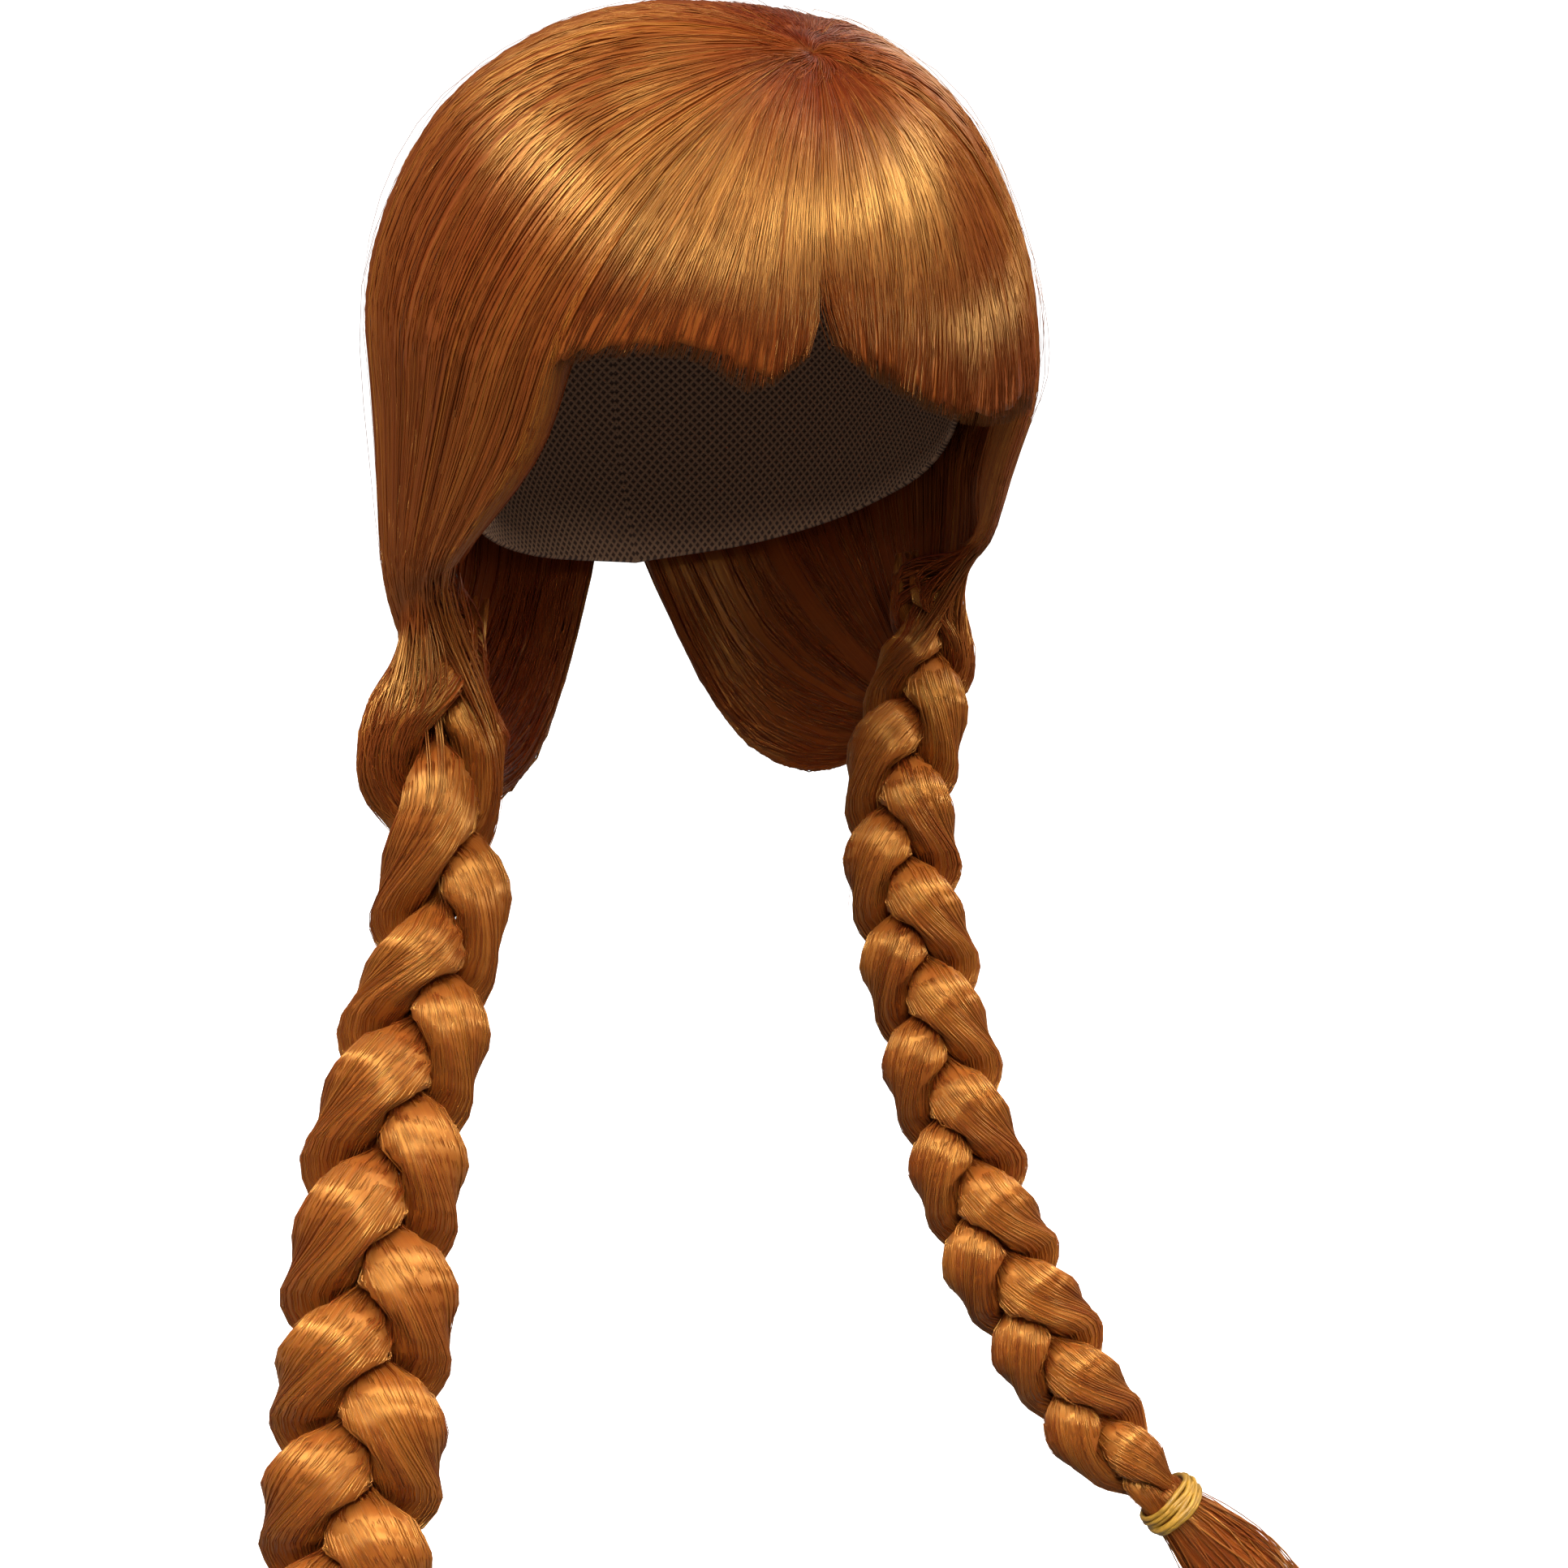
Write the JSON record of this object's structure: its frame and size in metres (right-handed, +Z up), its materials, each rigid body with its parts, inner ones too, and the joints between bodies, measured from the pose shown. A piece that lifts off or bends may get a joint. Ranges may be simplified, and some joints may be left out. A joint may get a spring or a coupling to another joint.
{
  "type": "pigtail wig",
  "caption": "Wig of straight glossy copper hair with a full fringe, gathered below the ears into long plaits tied with elastic bands, on a stretch cap.",
  "frame": {"origin": "inside of the cap at the crown, where it sits on the top of the head", "axes": "+Z up, the face opening towards -Y, +X towards the wearer's left"},
  "size_m": [0.3681, 0.2295, 0.6216],
  "materials": {
    "hair": "glossy straight synthetic hair fibre, copper",
    "cap_net": "matt brown stretch net",
    "elastic": "satin mustard-yellow rubber"
  },
  "bodies": {
    "root": {"wig_cap": "cap_net", "right_side_hair": "hair", "left_side_hair": "hair", "fringe": "hair", "right_plait_strand_a": "hair", "right_plait_strand_b": "hair", "right_plait_strand_c": "hair", "right_elastic_band": "elastic", "right_tail": "hair", "left_plait_strand_a": "hair", "left_plait_strand_b": "hair", "left_plait_strand_c": "hair", "left_elastic_band": "elastic", "left_tail": "hair"}
  },
  "joints": []
}
